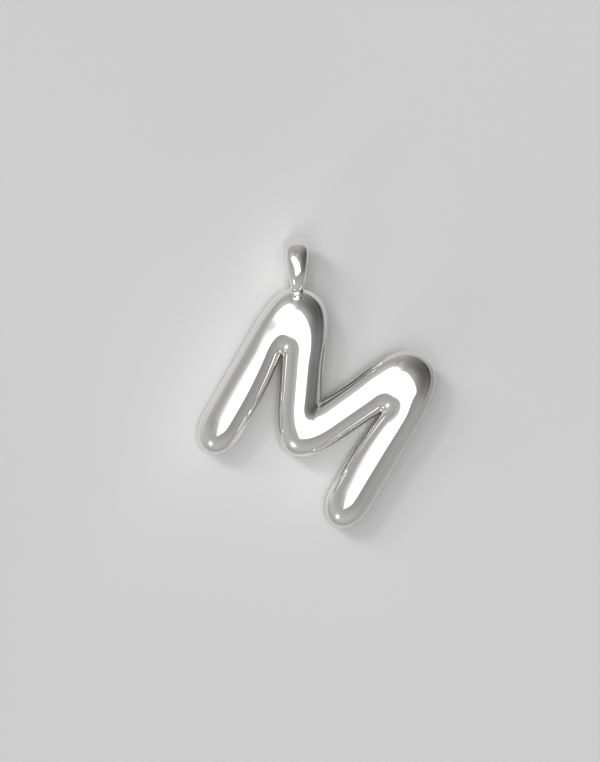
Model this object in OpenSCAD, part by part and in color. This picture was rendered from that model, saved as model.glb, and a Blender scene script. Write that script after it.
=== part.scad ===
// Initial pendant: a puffed capital letter M leaning on a tapered ring bail, lying on its back.
// Millimetres. X runs along the hole of the bail, Y up the bail, Z up from the surface it lies on.
// The letter is one rounded stroke. Each station across it has an outer edge, an inner edge and a half thickness.
// The stroke turns by fanning its stations round the inner corners of the letter.

/* [Letter] */
// Height of the letter, from its feet to the top of its shoulders
letter_h = 19.3; // [15:0.1:26]
// Lean of the letter, clockwise from upright, degrees
lean = 30; // [10:1:40]
// Thickness of the letter through its two legs
leg_t = 4.05; // [3.2:0.05:5]
// Thickness of the letter through its two shoulders
shoulder_t = 4.15; // [3.4:0.05:5.6]
// Thickness of the letter through its two slanted strokes
slant_t = 3.8; // [3.2:0.05:5]
// Thickness of the letter at the foot of its middle point
point_t = 3.9; // [3.2:0.05:5]
// How far the ridge of the stroke sits toward its inner edge, as a part of half its width
ridge_in = 0.03; // [0:0.01:0.08]

/* [Bail] */
// Outer diameter of the bail ring
bail_d = 6.4; // [5.8:0.1:8]
// Width of the bail at its top
bail_top_w = 2.25; // [1.6:0.05:3]
// Width of the bail at its foot, where it grows out of the letter
bail_foot_w = 1.2; // [0.9:0.05:1.6]
// Height of the rounded crown on the outside of the bail, at its top
bail_crown = 0.5; // [0.3:0.05:0.7]
// Height of that crown lower down, where the bail narrows
bail_low_crown = 0.65; // [0.3:0.05:0.7]
// Depth of the neck just above the foot of the bail
bail_neck = 0.15; // [0:0.05:0.2]
// Diameter of the hole that the chain runs through
bail_hole_d = 4.1; // [3:0.1:4.2]
// Height of the hole's centre above the ring's centre
bail_hole_up = 0.15; // [0:0.05:0.25]

/* [Lying] */
// Tilt about X as it lies, degrees: the back of the bail lifts that end
rest_tilt_x = 3.34; // [-1:0.01:5]
// Tilt about Y as it lies, degrees
rest_tilt_y = -1.92; // [-3:0.01:3]

/* [Facets] */
// Points round each station of the stroke
section_points = 24; // [12:4:28]
// Angle between stations where the stroke fans round a corner, degrees
fan_step = 7.5; // [7.5:1.5:15]

/* [Hidden] */

// The tables are for a letter 19.3 high, in its own upright frame, right half only
k = letter_h / 19.3;
// Leg: middle, half width, level of the foot's widest station and length of its rounded end
leg_mid = 7.38;
leg_half = 2.22;
foot_y = -9.2;
foot_round = 3.06;
// Inner corner under each shoulder, and inner corner above the middle point
armpit = [5.75, -0.1];
notch = [0, -2.2];
// Shoulder, seen from the armpit: [angle, reach to the outer edge]
SHOULDER = [
    [-10, 3.92], [10, 3.92], [25, 4.26], [40, 4.91], [55, 6.0], [70, 6.98],
    [85, 7.17], [100, 6.78], [115, 5.83], [130, 4.98], [145, 4.52], [155, 4.36]
];
// Middle point, seen from the notch: [angle, reach to the lower edge]
POINT = [
    [-100, 5.99], [-90, 6.16], [-80, 5.99], [-70, 5.53], [-60, 5.06],
    [-50, 4.67], [-40, 4.4], [-28, 4.25]
];
// Centre of the bail ring from the letter's centre, after the lean
bail_at = [-3.35, 11.5] * k;

// Smooth reading of a two-column table
function seg(tab, x, i = 0) = (i >= len(tab) - 2 || x < tab[i + 1][0]) ? i : seg(tab, x, i + 1);
function rise(tab, i, j) = (tab[j][1] - tab[i][1]) / (tab[j][0] - tab[i][0]);
function slope(tab, i) = rise(tab, max(i - 1, 0), min(i + 1, len(tab) - 1));
function smooth(tab, x) =
    let (i = seg(tab, x), h = tab[i + 1][0] - tab[i][0], t = (x - tab[i][0]) / h)
    tab[i][1] * (1 + 2 * t) * (1 - t) * (1 - t) + tab[i + 1][1] * t * t * (3 - 2 * t)
    + h * t * (1 - t) * (slope(tab, i) * (1 - t) - slope(tab, i + 1) * t);
function ease(t) = let (u = min(max(t, 0), 1)) u * u * (3 - 2 * u);
function mix(a, b, t) = a + (b - a) * t;
function ray(from, a, r) = from + r * [cos(a), sin(a)];

// Stations of the right half: [outer edge, inner edge, half thickness]
foot_stations = [for (i = [0:6]) let (q = 90 * i / 7)
    [[leg_mid + leg_half * sin(q), foot_y - foot_round * cos(q)],
     [leg_mid - leg_half * sin(q), foot_y - foot_round * cos(q)], leg_t / 2 * sin(q)]];
leg_top = ray(armpit, SHOULDER[0][0], SHOULDER[0][1]);
leg_stations = [for (i = [0:6]) let (t = i / 7, y = mix(foot_y, armpit[1], t))
    [[mix(leg_mid + leg_half, leg_top[0], t), mix(foot_y, leg_top[1], t)],
     [leg_mid - leg_half + 0.59 * pow(max(y + 8, 0) / 7.9, 2.2), y],
     mix(leg_t, slant_t, ease(t)) / 2]];
function bump(a) = pow(cos(90 * min(abs(a - 85) / 55, 1)), 2);
shoulder_stations = [for (a = [-10:fan_step:154.9])
    [ray(armpit, a, smooth(SHOULDER, a)), armpit, mix(slant_t, shoulder_t, bump(a)) / 2]];
slant_top = ray(armpit, 155, 4.36);
slant_foot = ray(notch, -28, 4.25);
slant_stations = [for (i = [0:3]) let (t = i / 4)
    [mix(slant_top, notch, t), mix(armpit, slant_foot, t), slant_t / 2]];
point_stations = [for (i = [0:8]) let (a = -28 - 62 * i / 8)
    [notch, ray(notch, a, smooth(POINT, a)), mix(slant_t, point_t, ease(i / 8)) / 2]];
right_half = concat(foot_stations, leg_stations, shoulder_stations, slant_stations, point_stations);
function flip(s) = [[-s[0][0], s[0][1]], [-s[1][0], s[1][1]], s[2]];
stations = concat(right_half, [for (i = [len(right_half) - 2:-1:0]) flip(right_half[i])]);
ns = len(stations);
np = section_points;

// Points of the stroke, leaned over
function lean_over(p) = k * [p[0] * cos(lean) + p[1] * sin(lean), p[1] * cos(lean) - p[0] * sin(lean)];
letter_points = [for (s = stations) for (j = [0:np - 1])
    let (a = 360 * j / np, p = lean_over((s[0] + s[1]) / 2 - (s[0] - s[1]) / 2 * (cos(a) + ridge_in * pow(sin(a), 2))))
    [p[0], p[1], k * s[2] * sin(a)]];

// Stations that share an inner corner share its one point, and each foot ends in one point
function same(a, b) = norm(a - b) < 0.0001;
function first_in(i) = (i > 0 && same(stations[i][1], stations[i - 1][1])) ? first_in(i - 1) : i;
function first_out(i) = (i > 0 && same(stations[i][0], stations[i - 1][0])) ? first_out(i - 1) : i;
function at(i, j) =
    (i == 0 || i == ns - 1) ? i * np
    : j == 0 ? first_in(i) * np
    : j == np / 2 ? first_out(i) * np + j
    : i * np + j;
function real(f) = f[0] != f[1] && f[1] != f[2] && f[2] != f[0];
letter_faces = [for (i = [0:ns - 2]) for (j = [0:np - 1])
    let (n = (j + 1) % np)
    for (f = [[at(i, j), at(i + 1, j), at(i + 1, n)], [at(i, j), at(i + 1, n), at(i, n)]])
    if (real(f)) f];

// Bail: a tapered disc with a crowned rim, to be bored. Angle 0 is its top
bail_steps = 36;
CROWN = [-1, -0.98, -0.91, -0.76, -0.45, 0, 0.45, 0.76, 0.91, 0.98, 1];
// How the band's width falls from its top to its foot: [angle from the top, part of the way to the foot's width]
TAPER = [[0, 0], [43, 0.03], [71, 0.12], [95, 0.34], [119, 0.67], [154, 0.92], [180, 1]];
function bail_half(a) = mix(bail_top_w, bail_foot_w, smooth(TAPER, a > 180 ? 360 - a : a)) / 2;
function crown(a) = mix(bail_crown, bail_low_crown, ease((min(a, 360 - a) - 45) / 40));
function neck(a) = let (d = min(a, 360 - a))
    bail_neck * (d < 152 ? pow(max(d - 126, 0) / 26, 1.6) : 1 - ease((d - 152) / 3));
function rim(t, a) = bail_d / 2 - neck(a) - crown(a) * (1 - sqrt(1 - t * t));
nc = len(CROWN);
bail_points = concat(
    [for (i = [0:bail_steps - 1]) for (t = CROWN)
        let (a = 360 * i / bail_steps)
        [bail_at[0] + t * bail_half(a), bail_at[1] + rim(t, a) * cos(a), rim(t, a) * sin(a)]],
    [for (d = [-1, 1]) [bail_at[0] + d * 0.41 * (bail_top_w + bail_foot_w) / 1.7, bail_at[1], 0]]);
bail_faces = concat(
    [for (i = [0:bail_steps - 1]) for (j = [0:nc - 2])
        let (n = (i + 1) % bail_steps)
        for (f = [[i * nc + j, i * nc + j + 1, n * nc + j + 1], [i * nc + j, n * nc + j + 1, n * nc + j]]) f],
    [for (i = [0:bail_steps - 1]) let (n = (i + 1) % bail_steps) [bail_steps * nc, i * nc, n * nc]],
    [for (i = [0:bail_steps - 1]) let (n = (i + 1) % bail_steps)
        [bail_steps * nc + 1, n * nc + nc - 1, i * nc + nc - 1]]);

// The pose it lies in, with the origin under the middle of its box
function tilt_x(p) = [p[0], p[1] * cos(rest_tilt_x) - p[2] * sin(rest_tilt_x),
    p[1] * sin(rest_tilt_x) + p[2] * cos(rest_tilt_x)];
function tilt_y(p) = [p[0] * cos(rest_tilt_y) + p[2] * sin(rest_tilt_y), p[1],
    p[2] * cos(rest_tilt_y) - p[0] * sin(rest_tilt_y)];
lying = [for (p = concat(letter_points, bail_points)) tilt_y(tilt_x(p))];
low = [for (c = [0:2]) min([for (p = lying) p[c]])];
high = [for (c = [0:2]) max([for (p = lying) p[c]])];

module letter() {
    polyhedron(points = letter_points, faces = letter_faces, convexity = 8);
}

module bail() {
    polyhedron(points = bail_points, faces = bail_faces, convexity = 4);
}

module pendant() {
    color("silver")
    translate([-(low[0] + high[0]) / 2, -(low[1] + high[1]) / 2, -low[2]])
    rotate([0, rest_tilt_y, 0])
    rotate([rest_tilt_x, 0, 0])
    difference() {
        union() {
            letter();
            bail();
        }
        translate([bail_at[0] - bail_top_w, bail_at[1] + bail_hole_up, 0])
            rotate([0, 90, 0]) cylinder(d = bail_hole_d, h = 2 * bail_top_w, $fn = 96);
    }
}

pendant();
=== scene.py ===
"""Initial pendant: a puffed silver letter on a tapered ring bail, lying on a pale floor, seen from straight above.

The letter is one rounded stroke, swept as stations: each has an outer edge, an inner edge and a half thickness.
Shapes are worked out in millimetres in the letter's own flat frame, then laid down in the pose of the frame model.
"""

import math

import bpy
import numpy as np
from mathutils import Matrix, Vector


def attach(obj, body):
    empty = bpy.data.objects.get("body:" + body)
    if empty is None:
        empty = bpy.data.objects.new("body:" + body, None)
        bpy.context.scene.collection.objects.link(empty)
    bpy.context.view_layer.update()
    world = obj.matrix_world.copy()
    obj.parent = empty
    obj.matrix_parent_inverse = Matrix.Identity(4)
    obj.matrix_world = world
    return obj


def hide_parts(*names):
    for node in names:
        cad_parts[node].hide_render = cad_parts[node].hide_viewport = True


MM = 0.001

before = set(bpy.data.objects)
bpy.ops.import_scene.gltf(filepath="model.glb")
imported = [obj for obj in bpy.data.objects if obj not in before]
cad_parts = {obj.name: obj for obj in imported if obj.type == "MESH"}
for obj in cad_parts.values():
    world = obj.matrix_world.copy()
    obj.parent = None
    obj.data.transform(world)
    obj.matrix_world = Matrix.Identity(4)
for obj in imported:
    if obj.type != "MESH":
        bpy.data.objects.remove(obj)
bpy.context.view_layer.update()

# ---------------------------------------------------------------- sizes, mm
LEAN = 30.0
LEG_MID, LEG_HALF = 7.38, 2.22
FOOT_Y, FOOT_ROUND = -9.2, 3.06
ARMPIT = np.array([5.75, -0.10])
NOTCH = np.array([0.0, -2.20])
# shoulder: angle and reach, seen from the armpit; middle point: seen from the notch
SHOULDER = [
    (-10, 3.92), (10, 3.92), (25, 4.26), (40, 4.91), (55, 6.0), (70, 6.98),
    (85, 7.17), (100, 6.78), (115, 5.83), (130, 4.98), (145, 4.52), (155, 4.36),
]
POINT = [(-90, 6.16), (-80, 5.99), (-70, 5.53), (-60, 5.06), (-50, 4.67), (-40, 4.4), (-28, 4.25)]
# half thicknesses
LEG_T, SLANT_T, SHOULDER_T, POINT_T = 2.025, 1.90, 2.075, 1.95
RIDGE_IN = 0.03  # how far the ridge sits toward the inner edge, as a part of half the stroke's width
CREASE_R = 0.04  # radius of the letter's inner corners
SOFTEN = 0.4  # length over which the stroke's parts run into each other

BAIL_AT = (-3.35, 11.5)
BAIL_R = 3.2
# the band's half width by the angle from its top
BAIL_HALF = [(0, 1.125), (43, 1.11), (71, 1.06), (95, 0.945), (119, 0.77), (154, 0.64), (180, 0.60)]
# the rounded crown on its outside: its height at the top and lower down
CROWN_TOP, CROWN_LOW = 0.5, 0.65
# the neck above its foot: its depth, and the angles from the top where it starts, is deepest and ends
NECK, NECK_AT = 0.16, (126.0, 152.0, 155.0)
HOLE_R, HOLE_UP = 2.05, 0.15

# how it lies: a shift of the flat frame, then its tilts in degrees
SHIFT = (1.591, 0.064, 2.588)
TILT_X, TILT_Y = 3.34, -1.92


# ---------------------------------------------------------------- curves
def spline(tab, at, k0, k1):
    """Smooth curve through a two-column table, with given end slopes."""
    t = np.array([r[0] for r in tab], float)
    y = np.array([r[1] for r in tab], float)
    n, h = len(t), np.diff(t)
    a, r = np.zeros((n, n)), np.zeros(n)
    for i in range(1, n - 1):
        a[i, i - 1 : i + 2] = h[i - 1], 2 * (h[i - 1] + h[i]), h[i]
        r[i] = 6 * ((y[i + 1] - y[i]) / h[i] - (y[i] - y[i - 1]) / h[i - 1])
    a[0, :2] = 2 * h[0], h[0]
    r[0] = 6 * ((y[1] - y[0]) / h[0] - k0)
    a[-1, -2:] = h[-1], 2 * h[-1]
    r[-1] = 6 * (k1 - (y[-1] - y[-2]) / h[-1])
    m = np.linalg.solve(a, r)
    at = np.clip(at, t[0], t[-1])
    i = np.clip(np.searchsorted(t, at, side="right") - 1, 0, n - 2)
    d, w = at - t[i], h[i]
    c3, c2 = (m[i + 1] - m[i]) / (6 * w), m[i] / 2
    c1 = (y[i + 1] - y[i]) / w - w * (2 * m[i] + m[i + 1]) / 6
    return y[i] + d * (c1 + d * (c2 + d * c3))


def ease(x):
    x = np.clip(x, 0, 1)
    return x * x * (3 - 2 * x)


def ray(origin, degrees, reach):
    a = np.radians(degrees)
    return origin + np.stack([reach * np.cos(a), reach * np.sin(a)], -1)


def even(path, values, step):
    """Values at even steps along a path, the last point left out."""
    s = np.r_[0, np.cumsum(np.hypot(*np.diff(path, axis=0).T))]
    n = int(round(s[-1] / step))
    return np.interp(np.linspace(0, s[-1], n, endpoint=False), s, values)


def half_stroke(step):
    """Right half of the letter, from the tip of its foot to the middle: outer edge, inner edge, half thickness."""
    out = []
    n = int(round(FOOT_ROUND * math.pi / 2 / step))
    q = np.linspace(0, math.pi / 2, n, endpoint=False)
    y = FOOT_Y - FOOT_ROUND * np.cos(q)
    out.append((np.c_[LEG_MID + LEG_HALF * np.sin(q), y], np.c_[LEG_MID - LEG_HALF * np.sin(q), y], LEG_T * np.sin(q)))
    # leg
    top = ray(ARMPIT, -10.0, SHOULDER[0][1])
    pit = ARMPIT - ray(np.zeros(2), 72.5, CREASE_R)
    inner = ray(pit, -10.0, CREASE_R)
    t = np.linspace(0, 1, int(round((ARMPIT[1] - FOOT_Y) / step)), endpoint=False)
    y = FOOT_Y + (inner[1] - FOOT_Y) * t
    x0 = LEG_MID - LEG_HALF
    x = x0 + (inner[0] - x0) * np.clip((y + 8) / (inner[1] + 8), 0, None) ** 2.2
    x1 = LEG_MID + LEG_HALF
    out.append((np.c_[x1 + (top[0] - x1) * t, FOOT_Y + (top[1] - FOOT_Y) * t], np.c_[x, y], LEG_T + (SLANT_T - LEG_T) * ease(t)))
    # shoulder, fanned round the armpit
    a = np.linspace(-10, 155, 400)
    a = even(ray(ARMPIT, a, (spline(SHOULDER, a, -0.0121, -0.0110) + CREASE_R) / 2), a, step)
    bump = np.cos(np.clip((a - 85) / 55, -1, 1) * math.pi / 2) ** 2
    out.append((ray(ARMPIT, a, spline(SHOULDER, a, -0.0121, -0.0110)), ray(pit, a, CREASE_R), SLANT_T + (SHOULDER_T - SLANT_T) * bump))
    # slanted stroke
    nick = NOTCH + np.array([0, CREASE_R])
    a0, a1 = ray(ARMPIT, 155.0, SHOULDER[-1][1]), ray(nick, -28.0, CREASE_R)
    b0, b1 = ray(pit, 155.0, CREASE_R), ray(NOTCH, -28.0, POINT[-1][1])
    n = int(round(np.linalg.norm((a1 + b1 - a0 - b0) / 2) / step))
    t = np.linspace(0, 1, n, endpoint=False)[:, None]
    out.append((a0 + (a1 - a0) * t, b0 + (b1 - b0) * t, np.full(n, SLANT_T)))
    # middle point, fanned round the notch
    a = np.linspace(-28, -90, 200)
    a = even(ray(NOTCH, a, (spline(POINT, a, 0.0, -0.0065) + CREASE_R) / 2), a, step)
    a = np.r_[a, -90.0]
    out.append((ray(nick, a, CREASE_R), ray(NOTCH, a, spline(POINT, a, 0.0, -0.0065)), SLANT_T + (POINT_T - SLANT_T) * ease((-28 - a) / 62)))
    return [np.concatenate([o[i] for o in out]) for i in range(3)]


def stroke(step=0.05, keep=3):
    """The whole stroke, its parts run smoothly into each other."""
    a, b, t = half_stroke(step)
    flip = np.array([-1.0, 1.0])
    a, b, t = np.vstack([a, a[-2::-1] * flip]), np.vstack([b, b[-2::-1] * flip]), np.r_[t, t[-2::-1]]
    n, pad = len(a), int(round(4 * SOFTEN / step))
    k = np.exp(-0.5 * (np.arange(-pad, pad + 1) * step / SOFTEN) ** 2)
    k /= k.sum()

    def soft(v, over, sign=1):
        v = np.concatenate([sign * over[pad:0:-1], v, sign * over[-2 : -pad - 2 : -1]])
        return np.convolve(v, k, mode="valid")

    sa = np.stack([soft(a[:, i], b[:, i]) for i in (0, 1)], 1)
    sb = np.stack([soft(b[:, i], a[:, i]) for i in (0, 1)], 1)
    st = soft(t, t, -1)
    u = np.arange(n) * step
    w = ease((np.minimum(u, u[::-1]) - 1.5) / 2.5)
    a, b, t = a + (sa - a) * w[:, None], b + (sb - b) * w[:, None], t + (st - t) * w
    i = np.unique(np.r_[np.arange(0, n, keep), n - 1])
    return a[i], b[i], t[i]


# ---------------------------------------------------------------- meshes
def lay(points):
    """Flat-frame millimetres to row-frame metres."""
    p = np.asarray(points, float).reshape(-1, 3) + np.array(SHIFT)
    c, s = math.cos(math.radians(TILT_X)), math.sin(math.radians(TILT_X))
    p = np.c_[p[:, 0], p[:, 1] * c - p[:, 2] * s, p[:, 1] * s + p[:, 2] * c]
    c, s = math.cos(math.radians(TILT_Y)), math.sin(math.radians(TILT_Y))
    p = np.c_[p[:, 0] * c + p[:, 2] * s, p[:, 1], p[:, 2] * c - p[:, 0] * s]
    return p * MM


def mesh_object(name, points, faces):
    me = bpy.data.meshes.new(name)
    me.from_pydata([tuple(p) for p in points], [], faces)
    me.validate()
    me.update()
    ob = bpy.data.objects.new(name, me)
    bpy.context.scene.collection.objects.link(ob)
    return ob


def letter_mesh(around=128):
    a, b, t = stroke()
    n = len(a)
    ph = 2 * np.pi * np.arange(around) / around
    across = np.cos(ph) + RIDGE_IN * np.sin(ph) ** 2
    p = ((a + b) / 2)[:, None, :] - ((a - b) / 2)[:, None, :] * across[None, :, None]
    z = t[:, None] * np.sin(ph)[None]
    c, s = math.cos(math.radians(LEAN)), math.sin(math.radians(LEAN))
    g = np.stack([p[..., 0] * c + p[..., 1] * s, p[..., 1] * c - p[..., 0] * s, z], -1)
    pts = np.vstack([g[0].mean(0)[None], g[1:-1].reshape(-1, 3), g[-1].mean(0)[None]])
    last = len(pts) - 1
    faces = []
    for j in range(around):
        k = (j + 1) % around
        faces.append((0, 1 + j, 1 + k))
        faces.append((last, last - around + k, last - around + j))
        for i in range(n - 3):
            q = 1 + i * around
            faces.append((q + j, q + around + j, q + around + k, q + k))
    return mesh_object("letter", lay(pts), faces)


def bail_mesh():
    """A tapered ring: crowned outside, a round hole inside, its rim edges softened, and a neck above its foot."""
    half = np.unique(np.r_[np.arange(0, 181, 2.0), np.arange(146, 158, 0.5)])
    angles = np.r_[half, 360 - half[-2:0:-1]]
    round_steps = len(angles)
    psi = np.linspace(0, math.pi, 41)
    corner = np.linspace(0, math.pi / 2, 9)[1:]
    r = 0.2
    rows = []
    for degrees in angles:
        al, folded = math.radians(degrees), min(degrees, 360 - degrees)
        w = float(spline(BAIL_HALF, np.array([folded]), 0.0, 0.0)[0])
        hole = HOLE_UP * math.cos(al) + math.sqrt(HOLE_R**2 - (HOLE_UP * math.sin(al)) ** 2)
        low = float(ease((folded - 45) / 40))
        crown = CROWN_TOP + (CROWN_LOW - CROWN_TOP) * low
        n0, n1, n2 = NECK_AT
        neck = NECK * np.clip((folded - n0) / (n1 - n0), 0, 1) ** 1.6 * (1 - float(ease((folded - n1) / (n2 - n1))))
        side, e = BAIL_R - crown - neck, 0.85 + 0.15 * low
        v = w * 0.98
        prof = [(w * math.copysign(abs(math.cos(q)) ** e, math.cos(q)), side + crown * math.sin(q) ** e) for q in psi]
        prof += [(-v + r * (1 - math.cos(q)), hole + r * (1 - math.sin(q))) for q in np.r_[0, corner]]
        prof += [(x, hole) for x in np.linspace(-v + r, v - r, 11)[1:-1]]
        prof += [(v - r * (1 - math.cos(q)), hole + r * (1 - math.sin(q))) for q in np.r_[0, corner][::-1]]
        rows.append([(BAIL_AT[0] + x, BAIL_AT[1] + q * math.cos(al), q * math.sin(al)) for x, q in prof])
    m = len(rows[0])
    pts = np.array(rows).reshape(-1, 3)
    faces = []
    for i in range(round_steps):
        k = (i + 1) % round_steps
        for j in range(m):
            n = (j + 1) % m
            faces.append((i * m + j, k * m + j, k * m + n, i * m + n))
    return mesh_object("bail", lay(pts), faces)


def outward(ob):
    """Turns every face outward."""
    import bmesh

    bm = bmesh.new()
    bm.from_mesh(ob.data)
    bmesh.ops.recalc_face_normals(bm, faces=bm.faces)
    bm.to_mesh(ob.data)
    bm.free()


def join_solids(ob, other, name):
    """One closed solid of two, and the other object removed."""
    mod = ob.modifiers.new("join", "BOOLEAN")
    mod.operation = "UNION"
    mod.solver = "EXACT"
    mod.object = other
    dg = bpy.context.evaluated_depsgraph_get()
    me = bpy.data.meshes.new_from_object(ob.evaluated_get(dg))
    ob.modifiers.clear()
    ob.data = me
    bpy.data.objects.remove(other)
    ob.name = me.name = name
    return ob


letter = letter_mesh()
bail = bail_mesh()
outward(letter)
outward(bail)
pendant = join_solids(letter, bail, "silver_pendant")
pendant.data.shade_smooth()
pendant.data.set_sharp_from_angle(angle=math.radians(35))


# ---------------------------------------------------------------- directions
def overhead(x, y):
    """Direction to the point (x, y) of a ceiling at height 1."""
    return Vector((x, y, 1)).normalized()


def heading(azimuth, elevation):
    """Direction at an azimuth from +X and an elevation, in degrees."""
    a, e = math.radians(azimuth), math.radians(elevation)
    return Vector((math.cos(a) * math.cos(e), math.sin(a) * math.cos(e), math.sin(e)))


# ---------------------------------------------------------------- materials
def silver_material():
    mat = bpy.data.materials.new("polished_silver")
    mat.use_nodes = True
    nt = mat.node_tree
    bsdf = nt.nodes["Principled BSDF"]
    bsdf.inputs["Metallic"].default_value = 1.0
    bsdf.inputs["IOR"].default_value = 1.45
    coord = nt.nodes.new("ShaderNodeTexCoord")
    # faint warm and cool drift in the polish, some millimetres across
    drift = nt.nodes.new("ShaderNodeTexNoise")
    drift.inputs["Scale"].default_value = 260.0
    drift.inputs["Detail"].default_value = 2.0
    nt.links.new(coord.outputs["Object"], drift.inputs["Vector"])
    ramp = nt.nodes.new("ShaderNodeValToRGB")
    ramp.color_ramp.elements[0].position = 0.3
    ramp.color_ramp.elements[0].color = (0.957, 0.939, 0.908, 1)
    ramp.color_ramp.elements[1].position = 0.7
    ramp.color_ramp.elements[1].color = (0.977, 0.961, 0.932, 1)
    nt.links.new(drift.outputs["Fac"], ramp.inputs["Fac"])
    nt.links.new(ramp.outputs["Color"], bsdf.inputs["Base Color"])
    # polish marks too fine to see one by one
    marks = nt.nodes.new("ShaderNodeTexNoise")
    marks.inputs["Scale"].default_value = 1400.0
    marks.inputs["Detail"].default_value = 3.0
    nt.links.new(coord.outputs["Object"], marks.inputs["Vector"])
    rough = nt.nodes.new("ShaderNodeMapRange")
    rough.inputs["From Min"].default_value = 0.3
    rough.inputs["From Max"].default_value = 0.7
    rough.inputs["To Min"].default_value = 0.035
    rough.inputs["To Max"].default_value = 0.06
    nt.links.new(marks.outputs["Fac"], rough.inputs["Value"])
    nt.links.new(rough.outputs["Result"], bsdf.inputs["Roughness"])
    return mat


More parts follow.
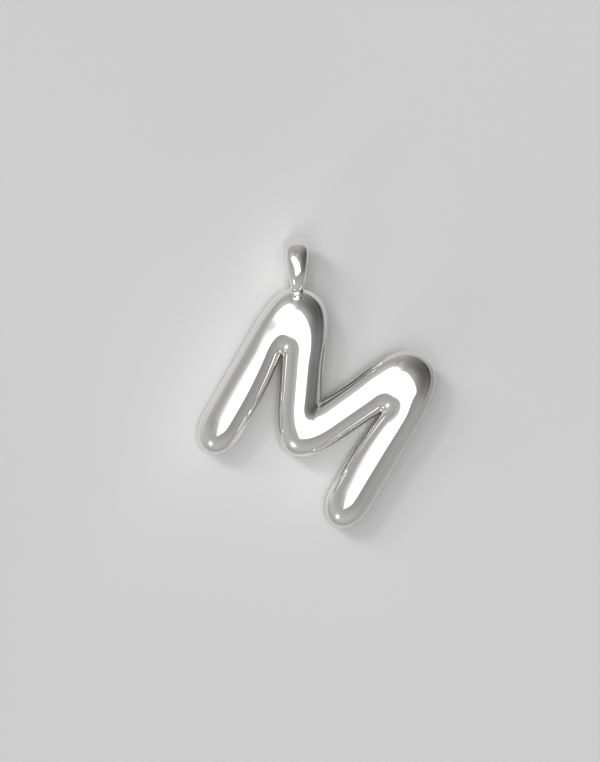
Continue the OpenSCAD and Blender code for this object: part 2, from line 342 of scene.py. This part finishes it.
def floor_material():
    mat = bpy.data.materials.new("pale_floor")
    mat.use_nodes = True
    nt = mat.node_tree
    bsdf = nt.nodes["Principled BSDF"]
    bsdf.inputs["Roughness"].default_value = 0.9
    bsdf.inputs["Specular IOR Level"].default_value = 0.0
    coord = nt.nodes.new("ShaderNodeTexCoord")
    cloud = nt.nodes.new("ShaderNodeTexNoise")
    cloud.inputs["Scale"].default_value = 18.0
    cloud.inputs["Detail"].default_value = 1.0
    nt.links.new(coord.outputs["Object"], cloud.inputs["Vector"])
    ramp = nt.nodes.new("ShaderNodeValToRGB")
    ramp.color_ramp.elements[0].position = 0.25
    ramp.color_ramp.elements[0].color = (0.448, 0.448, 0.448, 1)
    ramp.color_ramp.elements[1].position = 0.75
    ramp.color_ramp.elements[1].color = (0.460, 0.460, 0.460, 1)
    nt.links.new(cloud.outputs["Fac"], ramp.inputs["Fac"])

    def node_math(op, a, b=None):
        n = nt.nodes.new("ShaderNodeMath")
        n.operation = op
        for i, v in enumerate((a, b)):
            if isinstance(v, (int, float)):
                n.inputs[i].default_value = v
            elif v is not None:
                nt.links.new(v, n.inputs[i])
        return n.outputs[0]

    def blob(x, y, turn, along, across):
        """A soft patch of the floor, 1 in its middle: mm and degrees."""
        place = nt.nodes.new("ShaderNodeMapping")
        place.vector_type = "TEXTURE"
        place.inputs["Location"].default_value = (x * MM, y * MM, 0)
        place.inputs["Rotation"].default_value = (0, 0, math.radians(turn))
        place.inputs["Scale"].default_value = (along * MM, across * MM, 1)
        nt.links.new(coord.outputs["Object"], place.inputs["Vector"])
        square = nt.nodes.new("ShaderNodeVectorMath")
        square.operation = "DOT_PRODUCT"
        nt.links.new(place.outputs[0], square.inputs[0])
        nt.links.new(place.outputs[0], square.inputs[1])
        return node_math("EXPONENT", node_math("MULTIPLY", square.outputs["Value"], -0.5))

    # painted light: the light that the silver throws on the floor round it, painted into the floor's colour as soft
    # brighter patches, mm and degrees
    painted_glow = None
    painted_glow_patches = [
        (-8.06, 3.21, 60, 11.0, 3.4, 0.13),
        (-3.16, -8.79, 20, 7.0, 3.6, 0.05),
        (-2.66, -0.79, 0, 11.0, 11.0, 0.055),
        (-4.4, 11.6, 90, 3.2, 1.6, 0.10),
        (-3.17, 11.5, 90, 2.4, 0.4, 0.24),
        (2.3, -6.8, 50, 4.5, 2.2, 0.12),
        (3.3, 2.0, 0, 4.5, 4.5, 0.05),
        (5.4, -3.8, 52, 1.6, 0.7, 0.30),
    ]
    for *place, share in painted_glow_patches:
        painted_patch = node_math("MULTIPLY", blob(*place), share)
        painted_glow = painted_patch if painted_glow is None else node_math("ADD", painted_glow, painted_patch)

    def step(value, lo, hi, to_lo=0.0, to_hi=1.0):
        n = nt.nodes.new("ShaderNodeMapRange")
        n.interpolation_type = "SMOOTHSTEP"
        for name, v in (("From Min", lo), ("From Max", hi), ("To Min", to_lo), ("To Max", to_hi)):
            n.inputs[name].default_value = v
        nt.links.new(value, n.inputs["Value"])
        return n.outputs["Result"]

    def node_vector(op, a, b=None):
        n = nt.nodes.new("ShaderNodeVectorMath")
        n.operation = op
        nt.links.new(a, n.inputs[0])
        if isinstance(b, tuple):
            n.inputs[1].default_value = b
        elif b is not None:
            nt.links.new(b, n.inputs[1])
        return n.outputs["Value" if op in ("DOT_PRODUCT", "LENGTH") else "Vector"]

    # how far the floor lies from the letter, mm: the letter's right half is a leg and a slanted stroke
    own = nt.nodes.new("ShaderNodeMapping")
    own.vector_type = "TEXTURE"
    own.inputs["Location"].default_value = (1.504 * MM, -0.087 * MM, 0)
    own.inputs["Rotation"].default_value = (0, 0, math.radians(-LEAN))
    own.inputs["Scale"].default_value = (MM, MM, MM)
    nt.links.new(coord.outputs["Object"], own.inputs["Vector"])
    half = node_vector("ABSOLUTE", own.outputs[0])
    split = nt.nodes.new("ShaderNodeSeparateXYZ")
    nt.links.new(own.outputs[0], split.inputs[0])
    fold = nt.nodes.new("ShaderNodeCombineXYZ")
    split_half = nt.nodes.new("ShaderNodeSeparateXYZ")
    nt.links.new(half, split_half.inputs[0])
    nt.links.new(split_half.outputs[0], fold.inputs[0])
    nt.links.new(split.outputs[1], fold.inputs[1])
    away = None
    for (x0, y0), (x1, y1) in (((7.38, -10.0), (6.6, 3.6)), ((6.0, 3.8), (0.0, -5.6))):
        along, size = (x1 - x0, y1 - y0, 0.0), math.hypot(x1 - x0, y1 - y0)
        start = nt.nodes.new("ShaderNodeVectorMath")
        start.operation = "SUBTRACT"
        nt.links.new(fold.outputs[0], start.inputs[0])
        start.inputs[1].default_value = (x0, y0, 0.0)
        part = node_math("DIVIDE", node_vector("DOT_PRODUCT", start.outputs[0], along), size * size)
        part = node_math("MINIMUM", node_math("MAXIMUM", part, 0.0), 1.0)
        foot = nt.nodes.new("ShaderNodeVectorMath")
        foot.operation = "SCALE"
        foot.inputs[0].default_value = along
        nt.links.new(part, foot.inputs["Scale"])
        gap = node_vector("LENGTH", node_vector("SUBTRACT", start.outputs[0], foot.outputs[0]))
        away = gap if away is None else node_math("MINIMUM", away, gap)
    away = node_math("SUBTRACT", away, 2.2)
    ring = nt.nodes.new("ShaderNodeMapping")
    ring.vector_type = "TEXTURE"
    ring.inputs["Location"].default_value = (-1.87 * MM, 11.5 * MM, 0)
    ring.inputs["Scale"].default_value = (MM, MM, MM)
    nt.links.new(coord.outputs["Object"], ring.inputs["Vector"])
    ring = node_vector("MAXIMUM", node_vector("SUBTRACT", node_vector("ABSOLUTE", ring.outputs[0]), (1.1, 3.1, 0.0)), (0.0, 0.0, 0.0))
    away = node_math("MINIMUM", away, node_vector("LENGTH", ring))
    # painted shade in the silver's reflection: the floor's colour, as the silver mirrors it, is scaled by a share of
    # its light, less on the right and toward the horizon
    side = node_vector("NORMALIZE", node_vector("MULTIPLY", coord.outputs["Object"], (1.0, 1.0, 0.0)))
    near = step(node_vector("DOT_PRODUCT", side, (1.0, 0.0, 0.0)), -1.0, 1.0, 0.93, 0.90)
    far = step(node_vector("DOT_PRODUCT", side, tuple(heading(130, 0))), -0.3, 0.9, 0.60, 0.97)
    far = node_math("SUBTRACT", far, step(node_vector("DOT_PRODUCT", side, tuple(heading(20, 0))), 0.5, 1.0, 0.0, 0.10))
    # more of it, and farther out, beyond the right shoulder, and less in the gap above the middle point
    beyond = step(node_vector("DOT_PRODUCT", side, tuple(heading(45, 0))), 0.75, 1.0)
    near = node_math("ADD", near, node_math("MULTIPLY", beyond, 0.08))
    far = node_math("ADD", far, node_math("MULTIPLY", beyond, 0.14))
    out = step(node_math("MULTIPLY", away, node_math("SUBTRACT", 1.0, node_math("MULTIPLY", beyond, 0.55))), 2.5, 6.0)
    share = node_math("ADD", node_math("MULTIPLY", node_math("SUBTRACT", 1.0, out), near), node_math("MULTIPLY", out, far))
    share = node_math("MULTIPLY", share, node_math("SUBTRACT", 1.0, node_math("MULTIPLY", blob(5.0, 5.0, 0, 3.0, 3.0), 0.38)))
    # painted shade: only rays mirrored by the silver see the floor darkened by this share
    path = nt.nodes.new("ShaderNodeLightPath")
    mirrored = path.outputs["Is Glossy Ray"]
    share = node_math("ADD", node_math("MULTIPLY", node_math("SUBTRACT", share, 1.0), mirrored), 1.0)
    # the floor's colour: its own tone, brightened by the painted light patches, and darkened by the painted shade share
    # where the silver mirrors it
    tone = nt.nodes.new("ShaderNodeVectorMath")
    tone.operation = "SCALE"
    nt.links.new(ramp.outputs["Color"], tone.inputs[0])
    nt.links.new(node_math("MULTIPLY", node_math("ADD", painted_glow, 1.0), share), tone.inputs["Scale"])
    nt.links.new(tone.outputs[0], bsdf.inputs["Base Color"])
    return mat


pendant.data.materials.clear()
pendant.data.materials.append(silver_material())
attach(pendant, "root")
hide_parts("pendant")

bpy.ops.mesh.primitive_plane_add(size=2.4, location=(0, 0, 0))
floor = bpy.context.object
floor.name = "floor"
floor.data.materials.append(floor_material())


# ---------------------------------------------------------------- light
# Directions are (x, y, z) from the pendant. A soft box is the cone inside its edges; an edge is given by two
# directions along it, with the inside on its left as seen from the pendant, and the width of its soft rim.
def edge_normal(p, q):
    n = Vector(p).cross(Vector(q))
    return n.normalized()


class Sky:
    """Builds the surroundings as numbers worked out from the direction looked in."""

    def __init__(self, nt):
        self.nt = nt
        coord = nt.nodes.new("ShaderNodeTexCoord")
        norm = nt.nodes.new("ShaderNodeVectorMath")
        norm.operation = "NORMALIZE"
        nt.links.new(coord.outputs["Generated"], norm.inputs[0])
        self.dir = norm.outputs[0]

    def dot(self, v):
        n = self.nt.nodes.new("ShaderNodeVectorMath")
        n.operation = "DOT_PRODUCT"
        self.nt.links.new(self.dir, n.inputs[0])
        n.inputs[1].default_value = v
        return n.outputs["Value"]

    def step(self, value, lo, hi, to_lo=0.0, to_hi=1.0, smooth=True):
        n = self.nt.nodes.new("ShaderNodeMapRange")
        n.interpolation_type = "SMOOTHSTEP" if smooth else "LINEAR"
        n.inputs["From Min"].default_value = lo
        n.inputs["From Max"].default_value = hi
        n.inputs["To Min"].default_value = to_lo
        n.inputs["To Max"].default_value = to_hi
        self.nt.links.new(value, n.inputs["Value"])
        return n.outputs["Result"]

    def math(self, op, a, b):
        n = self.nt.nodes.new("ShaderNodeMath")
        n.operation = op
        for i, v in enumerate((a, b)):
            if isinstance(v, (int, float)):
                n.inputs[i].default_value = v
            else:
                self.nt.links.new(v, n.inputs[i])
        return n.outputs[0]

    def box(self, corners, rims, level):
        """A soft box with these corners, in order round it, and a soft rim along each edge."""
        out = None
        for i, p in enumerate(corners):
            q = corners[(i + 1) % len(corners)]
            m = self.step(self.dot(edge_normal(p, q)), -rims[i], rims[i])
            out = m if out is None else self.math("MULTIPLY", out, m)
        return self.math("MULTIPLY", out, level)


MAIN_BOX, FAR_BOX = 1.35, 1.3


def surroundings():
    world = bpy.data.worlds.new("studio")
    bpy.context.scene.world = world
    world.use_nodes = True
    nt = world.node_tree
    bg = nt.nodes["Background"]
    sky = Sky(nt)
    height = sky.dot((0, 0, 1))
    # grey room, darker overhead
    level = sky.step(height, 0.0, 1.0, 0.44, 0.20, smooth=False)
    # the room's dark side and its paler front
    lobe = sky.step(sky.dot(heading(25, 2)), 0.43, 1.0, 0.0, 0.28, smooth=False)
    side = sky.step(sky.dot(heading(64, 0)), -0.104, 0.104)
    level = sky.math("SUBTRACT", level, sky.math("MULTIPLY", lobe, side))
    level = sky.math("ADD", level, sky.step(sky.dot(heading(-121, 26)), 0.0, 1.0, 0.0, 0.12))
    # a dimmer band low in the room, in front and on the right
    band = sky.step(height, 0.0, 0.35, 0.11, 0.0, smooth=False)
    level = sky.math("SUBTRACT", level, sky.math("MULTIPLY", band, sky.step(sky.dot(heading(-60, 0)), -0.5, 0.0)))
    # two soft boxes overhead
    main = [overhead(-0.33, -0.61), overhead(0.19, -0.49), overhead(0.59, -0.255), overhead(0.13, 0.39), overhead(-0.36, 0.41)]
    level = sky.math("ADD", level, sky.box(main, (0.04, 0.04, 0.04, 0.05, 0.06), MAIN_BOX))
    far = [overhead(-0.38, 0.08), overhead(-0.02, 0.46), overhead(-0.25, 0.82), overhead(-0.70, 0.85), overhead(-1.0, 0.61)]
    level = sky.math("ADD", level, sky.box(far, (0.06, 0.10, 0.11, 0.07, 0.10), FAR_BOX))
    # the far box's halo and its dimmer skirt
    level = sky.math("ADD", level, sky.step(sky.dot(overhead(-0.68, 0.80)), 0.89, 1.0, 0.0, 0.22))
    skirt = [overhead(-0.30, -0.086), overhead(-0.28, 0.40), overhead(-0.85, 0.75), overhead(-0.98, 0.434)]
    level = sky.math("ADD", level, sky.box(skirt, (0.04, 0.10, 0.08, 0.03), 0.09))
    # a dimmer panel beside it
    panel = [overhead(-0.16, 0.40), overhead(0.07, 0.40), overhead(0.08, 1.3), overhead(-0.16, 1.3)]
    level = sky.math("ADD", level, sky.box(panel, (0.06, 0.06, 0.06, 0.06), 0.16))
    # the ceiling that they light round them
    ceiling = [overhead(-0.40, -0.32), overhead(0.48, 0.12), overhead(-0.11, 0.68), overhead(-0.635, 0.54)]
    level = sky.math("ADD", level, sky.box(ceiling, (0.4, 0.4, 0.4, 0.4), 0.475))
    # a small round lamp low on the left, and its glow
    lamp = heading(-126.6, 21.8)
    level = sky.math("ADD", level, sky.step(sky.dot(lamp), math.cos(math.radians(7.0)), math.cos(math.radians(1.5)), 0.0, 6.0))
    level = sky.math("ADD", level, sky.step(sky.dot(lamp), 0.957, 1.0, 0.0, 0.266))
    nt.links.new(level, bg.inputs["Strength"])
    bg.inputs["Color"].default_value = (1.0, 1.0, 1.0, 1.0)


surroundings()


def fill_light(name, direction, width, strength):
    """A far soft lamp that lights the floor and casts the pendant's shadow, but isn't mirrored in the silver."""
    data = bpy.data.lights.new(name, "SUN")
    data.energy = strength
    data.angle = math.radians(width)
    lamp = bpy.data.objects.new(name, data)
    lamp.rotation_euler = direction.to_track_quat("Z", "Y").to_euler()
    lamp.visible_glossy = False
    bpy.context.scene.collection.objects.link(lamp)


FILL = [
    (overhead(-0.58, 0.60), 12.0, 0.59),
    (overhead(-1.05, 0.82), 12.0, 0.41),
    (overhead(0.1, 0.0), 14.0, 1.05),
    (overhead(-0.2, -0.42), 12.0, 0.19),
    (heading(-126.6, 21.8), 12.0, 0.13),
    (heading(150, 22), 12.0, 0.10),
]
for i, (at, width, strength) in enumerate(FILL):
    fill_light("fill_%d" % (i + 1), at, width, strength)

# ---------------------------------------------------------------- camera
VIEW_H = 0.0762  # height of the view at the letter's own level
DISTANCE = 0.42
cam_data = bpy.data.cameras.new("camera")
cam_data.sensor_width = 36.0
cam_data.lens = 36.0 * DISTANCE / VIEW_H
cam_data.clip_start, cam_data.clip_end = 0.01, 10.0
cam = bpy.data.objects.new("camera", cam_data)
bpy.context.scene.collection.objects.link(cam)
cam.location = (-1.66 * MM, 0.11 * MM, 2.6 * MM + DISTANCE)
cam.rotation_euler = (0, 0, 0)
bpy.context.scene.camera = cam

bpy.context.scene.view_settings.view_transform = "Standard"
